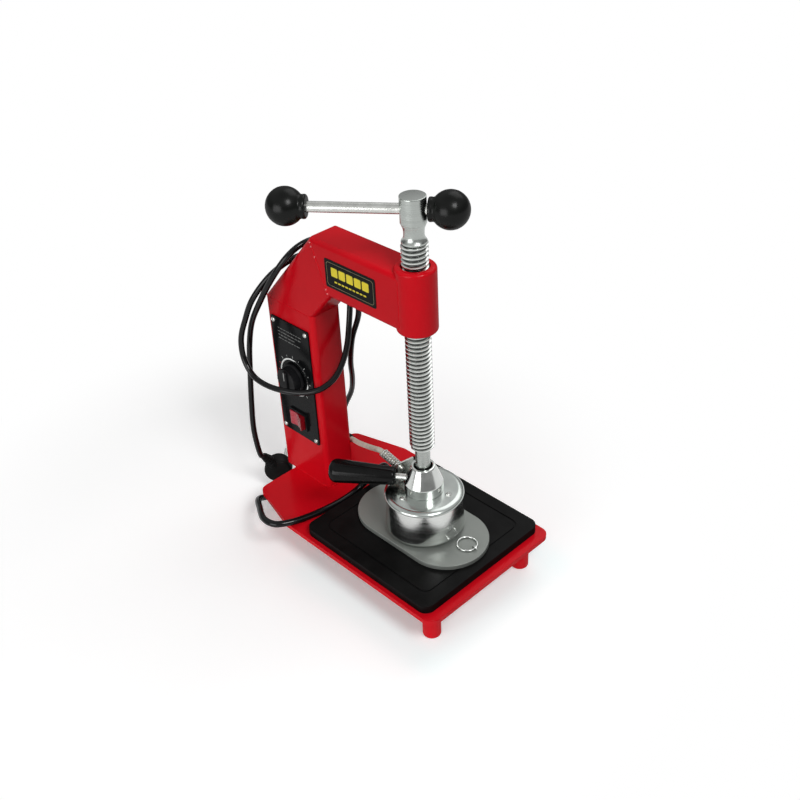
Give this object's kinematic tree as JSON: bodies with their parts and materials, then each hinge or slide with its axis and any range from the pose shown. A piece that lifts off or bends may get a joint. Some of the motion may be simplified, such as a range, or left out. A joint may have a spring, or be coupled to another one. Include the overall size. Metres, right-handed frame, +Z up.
{
  "type": "tire vulcanizer",
  "caption": "Bench tire vulcanizer: C-frame press whose hand screw presses a heated pot head on a heated platen, with thermostat, switch, leads and a loose oval plate.",
  "frame": {"origin": "on the bench, under the middle of the base plate", "axes": "+Z up, -Y the front where the user stands, -X the control side"},
  "size_m": [0.2213, 0.3814, 0.4805],
  "materials": {
    "red_paint": "gloss enamel",
    "nut_brass": "turned",
    "label_film": "printed film",
    "panel_black": "satin",
    "bright_steel": "zinc plated",
    "dial_silver": "printed silver",
    "control_black": "fine grain",
    "control_grey": "moulded",
    "rocker_red": "lit translucent red",
    "platen_black": "satin heat-proof coat",
    "heater_film": "silicone film",
    "screw_chrome": "bright plated",
    "ball_black": "polished phenolic",
    "pot_chrome": "plated, slightly brushed",
    "cast_aluminium": "cast, linished",
    "element_steel": "sheathed",
    "wool": "mineral wool",
    "set_screw_black": "black oxide",
    "grip_black": "moulded phenolic",
    "bracket_steel": "zinc plated",
    "braid_cream": "braided glass fibre",
    "bush_black": "moulded",
    "cable_black": "matt jacket",
    "plug_black": "moulded",
    "ring_steel": "wire"
  },
  "bodies": {
    "frame": {"base_plate": "red_paint", "foot_front_left": "red_paint", "foot_front_right": "red_paint", "foot_rear_left": "red_paint", "foot_rear_right": "red_paint", "column": "red_paint", "column_floor": "red_paint", "neck": "red_paint", "arm": "red_paint", "nut_boss": "red_paint", "screw_nut": "nut_brass", "name_plate": "label_film", "control_panel": "panel_black", "panel_screws": "bright_steel", "dial_ring": "dial_silver", "thermostat_body": "control_grey", "switch_housing": "control_black", "platen": "platen_black", "heating_sheet": "heater_film", "platen_screws": "bright_steel", "sensor_gland": "bush_black", "sensor_sleeve": "braid_cream", "power_lead": "cable_black", "power_grommet": "bush_black", "mains_relief": "bush_black", "mains_cable": "cable_black", "plug_body": "plug_black", "plug_pins": "bright_steel"},
    "carriage": {"thrust_pad": "bright_steel"},
    "spindle": {"spindle_screw": "screw_chrome", "spindle_head": "screw_chrome", "spigot": "screw_chrome"},
    "bar": {"tommy_bar": "screw_chrome", "ball_knob_left": "ball_black", "ball_knob_right": "ball_black"},
    "head": {"pot_shell": "pot_chrome", "sole_plate": "cast_aluminium", "heating_element": "element_steel", "insulation": "wool", "lid": "pot_chrome", "lid_screws": "bright_steel", "cone_socket": "pot_chrome", "set_screw": "set_screw_black", "handle_stub": "bright_steel", "handle_grip": "grip_black", "sensor_bracket": "bracket_steel", "sensor_ferrule": "bracket_steel", "sensor_spring": "bracket_steel", "power_gland": "bush_black"},
    "knob": {"thermostat_shaft": "bright_steel", "thermostat_knob": "control_black"},
    "rocker_body": {"rocker": "rocker_red"},
    "oval": {"oval_plate": "cast_aluminium", "ring_eye": "ring_steel"},
    "ring": {"pull_ring": "ring_steel"}
  },
  "joints": [
    {"name": "press_travel", "type": "slide", "parent": "frame", "child": "carriage", "axis": [0, 0, 1], "range_m": [0, 0.125], "deforming": ["sensor_sleeve", "power_lead"]},
    {"name": "spindle_turn", "type": "hinge", "parent": "carriage", "child": "spindle", "pos_m": [0, -0.053, 0.2], "axis": [0, 0, 1], "range_deg": [0, 9000]},
    {"name": "bar_slide", "type": "slide", "parent": "spindle", "child": "bar", "axis": [0.6018, -0.7986, 0], "range_m": [0, 0.089]},
    {"name": "head_swivel", "type": "hinge", "parent": "carriage", "child": "head", "pos_m": [0, -0.053, 0.12], "axis": [0, 0, 1], "range_deg": [-35, 35]},
    {"name": "knob_turn", "type": "hinge", "parent": "frame", "child": "knob", "pos_m": [-0.0235, 0.136, 0.197], "axis": [-1, 0, 0], "range_deg": [0, 270]},
    {"name": "rocker_tilt", "type": "hinge", "parent": "frame", "child": "rocker_body", "pos_m": [-0.0235, 0.136, 0.136], "axis": [0, 0, 1], "range_deg": [0, 18]},
    {"name": "oval_slide", "type": "slide", "parent": "frame", "child": "oval", "axis": [0, -1, 0], "range_m": [0, 0.12]},
    {"name": "ring_lift", "type": "hinge", "parent": "oval", "child": "ring", "pos_m": [0.006, -0.125, 0.0653], "axis": [1, 0, 0], "range_deg": [0, 170]}
  ],
  "couplings": [
    {"joint": "press_travel", "follows": "spindle_turn", "m_per_rad": 0.00079577}
  ]
}
